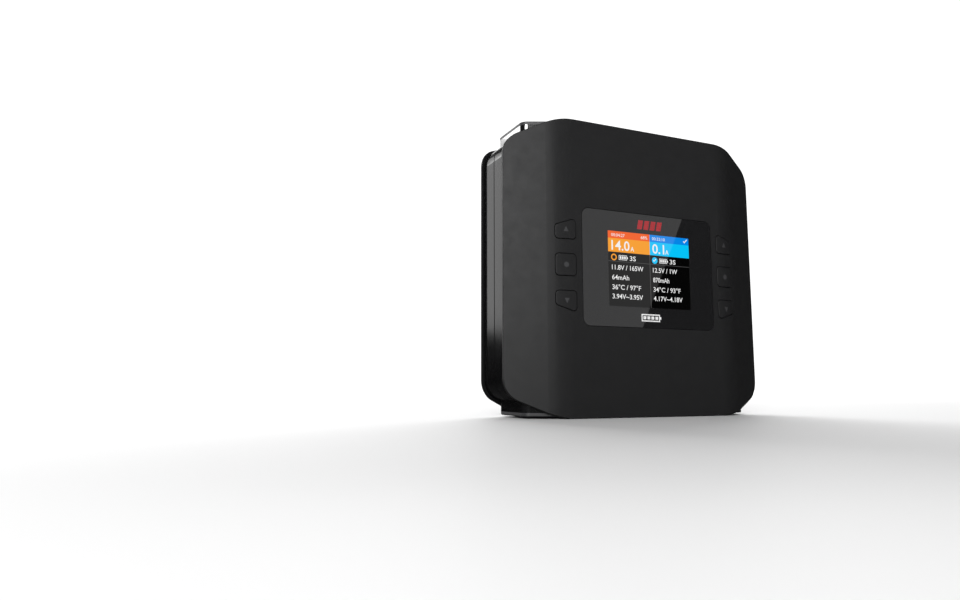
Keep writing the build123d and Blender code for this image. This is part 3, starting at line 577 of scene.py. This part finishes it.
class CHARGER_OT_inside(Operator):
    """Give the boards, fans, heatsinks and components their materials"""

    bl_idname = "charger.inside"
    bl_label = "Fans and boards"

    def execute(self, context):
        dress(filled_nylon("fan_polyester", "1C1C1E"), "left_fan_frame", "right_fan_frame",
              "left_fan_rotor", "right_fan_rotor", "lcd_bracket")
        dress(solder_resist(), "connector_board", "display_board", "power_board",
              "charge_board")
        dress(extruded_aluminium(), "left_heatsink", "right_heatsink")
        dress(enamelled_copper(), "transformer_winding", "output_inductors")
        dress(sintered_ferrite(), "transformer_core")
        dress(sleeve_film("capacitor_sleeve", "1A1C2A"), "bulk_capacitors",
              "output_capacitors")
        dress(sleeve_film("polyimide_film", "8A5A1C"), "insulation_sheet", "display_ribbon")
        return {"FINISHED"}


class CHARGER_OT_screen(Operator):
    """Build the lit picture under the display glass"""

    bl_idname = "charger.screen"
    bl_label = "Screen picture"

    def execute(self, context):
        settings = context.scene.charger_screen
        dress(toughened_glass(), "display_glass")
        dress(sleeve_film("lcd_back", "101014"), "lcd_panel")
        # Where the fields start and end, from the middle of the screen, in mm.
        self.side = settings.width / MM / 2
        self.top = settings.height / MM / 2
        self.strip = self.top - STRIP_HEIGHT
        self.block = self.strip - BLOCK_HEIGHT
        self.title = self.block - TITLE_HEIGHT
        self.left, self.right = -self.side + 2.3, 2.0
        self.fields(settings)
        self.lines(settings)
        self.figures(settings)
        self.rings(settings)
        return {"FINISHED"}

    def light_up(self, name, bm, finish, colour, settings):
        """Finish a field of the picture."""
        new_piece(name, bm, lit_picture(finish, colour, settings.glow))

    def fields(self, settings):
        """The black ground, and each channel's strip and block."""
        split = 0.15
        west, east = (-self.side, split), (split, self.side)
        strip, block = (self.strip, self.top), (self.block, self.strip)
        fields = (
            ("screen_field", "lcd_black", "000000", (-self.side, self.side),
             (-self.top, self.top), 1),
            ("left_strip", "lcd_red_orange", settings.strip_left, west, strip, 2),
            ("left_block", "lcd_orange", settings.block_left, west, block, 2),
            ("right_strip", "lcd_blue", settings.strip_right, east, strip, 2),
            ("right_block", "lcd_cyan", settings.block_right, east, block, 2),
        )
        for name, finish, colour, across, up, level in fields:
            bm = bmesh.new()
            add_bar(bm, *across, *up, level)
            self.light_up(name, bm, finish, colour, settings)

    def lines(self, settings):
        """Grey lines between the fields."""
        bm = bmesh.new()
        add_bar(bm, -self.side, self.side, self.title - 0.14, self.title + 0.14, 3)
        add_bar(bm, -0.2, 0.2, -self.top, self.block, 3)
        self.light_up("screen_lines", bm, "lcd_grey", "4A4A4A", settings)

    def figures(self, settings):
        """White readouts, check marks and battery icons."""
        bm = bmesh.new()
        left, right = self.left, self.right
        clock, current = self.strip + 1.1, self.block + 1.2
        # Each text has its X, foot, capital height, width, weight and level.
        texts = [
            ("00:04:27", left, clock, 1.9, 9.2, 0.0, 3),
            ("68%", -6.0, clock, 1.9, 4.6, 0.0, 3),
            ("00:32:10", right, clock, 1.9, 9.2, 0.0, 3),
            ("14.0", left, current, 5.8, 12.4, 0.012, 3),
            ("A", left + 13.1, current, 2.7, 2.4, 0.012, 3),
            ("0.1", right, current, 5.8, 8.6, 0.012, 3),
            ("A", right + 9.3, current, 2.7, 2.4, 0.012, 3),
        ]
        feet = [self.title - drop for drop in (4.75, 10.5, 16.1, 21.4)]
        columns = (
            (left, (("11.8V / 165W", 21.7), ("64mAh", 11.6),
                    ("36\u00b0C / 97\u00b0F", 19.7), ("3.94V~3.95V", 20.9))),
            (right, (("12.5V / 1W", 17.6), ("870mAh", 11.6),
                     ("34\u00b0C / 93\u00b0F", 19.7), ("4.17V~4.18V", 20.9))),
        )
        for x, rows in columns:
            texts.append(("3S", x + 12.4, self.title + 0.95, 2.8, 4.2, 0.01, 2))
            texts += [(body, x, z, 2.85, width, 0.008, 2) for z, (body, width) in zip(feet, rows)]
            start, middle = x + 4.8, self.title + 2.35
            add_battery(
                bm, (start, start + 5.6, middle - 1.4, middle + 1.4), wall=0.3,
                terminal=(start + 5.6, start + 6.2, middle - 0.6, middle + 0.6),
                cell=(start + 0.7, start + 1.8, middle - 0.75, middle + 0.75),
                count=3, pitch=1.5, level=2)
        for text in texts:
            add_text(bm, *text)
        add_check_mark(bm, 25.7, self.strip + 1.9, 1.0, 3)
        add_check_mark(bm, right + 1.0, self.title + 2.2, 0.75, 3)
        self.light_up("screen_figures", bm, "lcd_white", "F4F4F4", settings)

    def rings(self, settings):
        """The channels' round icons: an open ring at the left, almost a disc at the right."""
        for name, x, colour, width in (
                ("left_ring", self.left, settings.block_left, 0.75),
                ("right_ring", self.right, settings.block_right, 1.6)):
            bm = bmesh.new()
            add_ring(bm, x + 1.5, self.title + 2.35, 1.95, width, 2)
            self.light_up(name, bm, "lcd_" + name, colour, settings)


class CHARGER_OT_marks(Operator):
    """Print the plain marks on the glass and the buttons"""

    bl_idname = "charger.marks"
    bl_label = "Printed marks"

    def execute(self, context):
        self.red_bars()
        self.battery_mark()
        ink = pad_print("grey_ink", "363638", 0.5)
        for side, x in (("left", -ICON_X), ("right", ICON_X)):
            for row in ("up", "select", "down"):
                self.icon("_".join((side, row)), row, x, ink)
        return {"FINISHED"}

    def red_bars(self):
        """Four slanted bars above the screen."""
        bm = bmesh.new()
        foot, head, width, lean = 24.2, 29.6, 3.4, 1.2
        for n in range(4):
            x = -8.6 + n * 4.5
            add_film(bm, [(x, foot), (x + width, foot), (x + width + lean, head),
                          (x + lean, head)], 1)
        new_piece("red_bars", bm, pad_print("red_ink", "9E1C24", 0.12))

    def battery_mark(self):
        """A plain battery below the screen."""
        bm = bmesh.new()
        add_battery(
            bm, (-7.0, 6.0, -29.6, -25.3), wall=0.7, terminal=(6.0, 6.9, -28.2, -26.7),
            cell=(-5.7, -3.7, -28.3, -26.6), count=4, pitch=2.8, level=1)
        new_piece(
            "battery_mark", bm, pad_print("white_ink", "E8E8E8", 0.15))

    def icon(self, name, row, x, ink):
        """One icon that follows its button's curved face."""
        button = name + "_button"
        low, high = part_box(button)
        z = ((low.z + high.z) / 2 - SCREEN_Z) / MM
        bm = bmesh.new()
        if row == "up":
            add_film(bm, [(x - 1.5, z - 1.4), (x + 1.5, z - 1.4), (x, z + 1.5)], 1)
        elif row == "down":
            add_film(bm, [(x + 1.5, z + 1.4), (x - 1.5, z + 1.4), (x, z - 1.5)], 1)
        else:
            add_disc(bm, x, z, 1.5, 1)
        for n in range(-3, 4):
            bmesh.ops.bisect_plane(
                bm, geom=bm.verts[:] + bm.edges[:] + bm.faces[:],
                plane_co=((x + 0.4 * n) * MM, 0, 0), plane_no=(1, 0, 0))
        for vert in bm.verts:
            vert.co.y += face_drop(abs(vert.co.x)) - BUTTON_PROUD
        new_piece(name + "_icon", bm, ink, button)


class CHARGER_OT_stage(Operator):
    """Build the floor, the lights and the camera"""

    bl_idname = "charger.stage"
    bl_label = "Studio"

    def execute(self, context):
        settings = context.scene.charger_stage
        self.floor(settings)
        self.sheets(settings)
        self.lights(settings)
        self.camera(context, settings)
        self.world(context, settings)
        context.scene.view_settings.view_transform = "Standard"
        return {"FINISHED"}

    def sheet(self, name, corners, material):
        """A flat sheet through its corners."""
        bm = bmesh.new()
        bm.faces.new([bm.verts.new(corner) for corner in corners])
        mesh = bpy.data.meshes.new(name)
        bm.to_mesh(mesh)
        bm.free()
        mesh.materials.append(material)
        sheet = bpy.data.objects.new(name, mesh)
        bpy.context.scene.collection.objects.link(sheet)
        return sheet

    def floor(self, settings):
        """White paper floor, which ends some way behind the object against the white room."""
        material, tree, shader = new_material("studio_paper", settings.floor, 0.6)
        texture(tree, shader, 0.4, 2, colours=(settings.floor, shade(settings.floor, 1.01)))
        corners = [(-30, -8, 0), (30, -8, 0), (30, 1.3, 0), (-30, 1.3, 0)]
        self.sheet("floor", corners, material).visible_glossy = False

    def sheets(self, settings):
        """Lit cloths and a dark flag, which only show as reflections."""
        low, high = 0.02, 0.62
        foot, head = settings.diffuser_foot, settings.diffuser_head
        sheets = (
            ("backdrop", settings.backdrop,
             [(-9, 4.5, 0), (9, 4.5, 0), (9, 4.5, 2.7), (-9, 4.5, 2.7)]),
            ("high_backdrop", settings.high_backdrop,
             [(-7, 4.4, 1.95), (-1.8, 4.4, 1.95), (-1.8, 4.4, 4), (-7, 4.4, 4)]),
            ("dark_flag", 0.0,
             [(-8, 4.4, -1), (-1, 4.4, -1), (-1, 4.4, 0.42), (-8, 4.4, 0.42)]),
            ("diffuser", settings.diffuser,
             [(0.25, DIFFUSER_Y, low), (foot, DIFFUSER_Y, low),
              (head, DIFFUSER_Y, high), (0.25, DIFFUSER_Y, high)]),
        )
        for name, strength, corners in sheets:
            cloth = new_material(
                name + "_cloth", "000000", 1.0, Specular_IOR_Level=0.0,
                Emission_Color=linear("FFFFFF"), Emission_Strength=strength)[0]
            sheet = self.sheet(name, corners, cloth)
            sheet.visible_camera = False
            sheet.visible_diffuse = False
            sheet.visible_shadow = False

    def lights(self, settings):
        """A wide light behind, kept out of reflections, and a soft one at the front left."""
        back = self.area("back_light", (1.0, 2.3, 1.5), (0, 0, 0), 3.4, 0.6, settings.back_light)
        back.visible_glossy = False
        self.area("side_light", (-1.0, -1.3, 0.6), (0, 0, 0.1), 0.7, 0.7, settings.side_light)

    def area(self, name, position, target, width, height, power):
        """A rectangular light that faces its target."""
        data = bpy.data.lights.new(name, "AREA")
        data.shape = "RECTANGLE"
        data.size = width
        data.size_y = height
        data.energy = power
        light = bpy.data.objects.new(name, data)
        aim = Vector(target) - Vector(position)
        light.location = position
        light.rotation_euler = aim.to_track_quat("-Z", "Y").to_euler()
        bpy.context.scene.collection.objects.link(light)
        return light

    def camera(self, context, settings):
        """A low camera at the front left, which looks slightly up."""
        data = bpy.data.cameras.new("camera")
        data.lens = settings.lens
        data.sensor_width = 36.0
        data.clip_start = 0.005
        camera = bpy.data.objects.new("camera", data)
        camera.location = CAMERA_PLACE
        camera.rotation_euler = (math.pi / 2 + settings.camera_pitch, 0, -settings.camera_turn)
        context.scene.collection.objects.link(camera)
        context.scene.camera = camera

    def world(self, context, settings):
        """A white room, dimmer on matt surfaces and almost dark in reflections."""
        world = bpy.data.worlds.new("studio")
        world.use_nodes = True
        tree = world.node_tree
        tree.nodes.clear()
        path = add_node(tree, "ShaderNodeLightPath")
        unseen = add_node(tree, "ShaderNodeMapRange", {
            "To Min": settings.gleam, "To Max": settings.fill}, Value=(path, "Is Diffuse Ray"))
        strength = add_node(tree, "ShaderNodeMapRange", {"To Max": SKY},
                            Value=(path, "Is Camera Ray"), To_Min=(unseen, "Result"))
        room = add_node(tree, "ShaderNodeBackground", {"Color": linear("FFFFFF")},
                        Strength=(strength, "Result"))
        add_node(tree, "ShaderNodeOutputWorld", Surface=(room, "Background"))
        context.scene.world = world


# ---------------------------------------------------------------- add-on


class CHARGER_PT_panel(Panel):
    """Lists the charger's settings and steps"""

    bl_idname = "CHARGER_PT_panel"
    bl_label = "Battery charger"
    bl_space_type = "VIEW_3D"
    bl_region_type = "UI"
    bl_category = "Charger"

    def draw(self, context):
        for name in GROUPS:
            group = getattr(context.scene, name)
            box = self.layout.box()
            for key in group.__annotations__:
                box.prop(group, key)
        for step in STEPS:
            self.layout.operator(step.bl_idname)


GROUPS = {
    "charger_casing": CHARGER_PG_casing,
    "charger_screen": CHARGER_PG_screen,
    "charger_stage": CHARGER_PG_stage,
}
STEPS = (
    CHARGER_OT_case,
    CHARGER_OT_connectors,
    CHARGER_OT_inside,
    CHARGER_OT_screen,
    CHARGER_OT_marks,
    CHARGER_OT_stage,
)


def register():
    """Register the add-on's classes and settings."""
    for cls in (*GROUPS.values(), *STEPS, CHARGER_PT_panel):
        bpy.utils.register_class(cls)
    for name, cls in GROUPS.items():
        setattr(bpy.types.Scene, name, PointerProperty(type=cls))


def unregister():
    """Remove what register added."""
    for name in GROUPS:
        delattr(bpy.types.Scene, name)
    for cls in reversed((*GROUPS.values(), *STEPS, CHARGER_PT_panel)):
        bpy.utils.unregister_class(cls)


def main():
    """Build everything in order."""
    register()
    for step in STEPS:
        getattr(bpy.ops.charger, step.bl_idname.split(".")[1])()


if __name__ == "__main__":
    main()
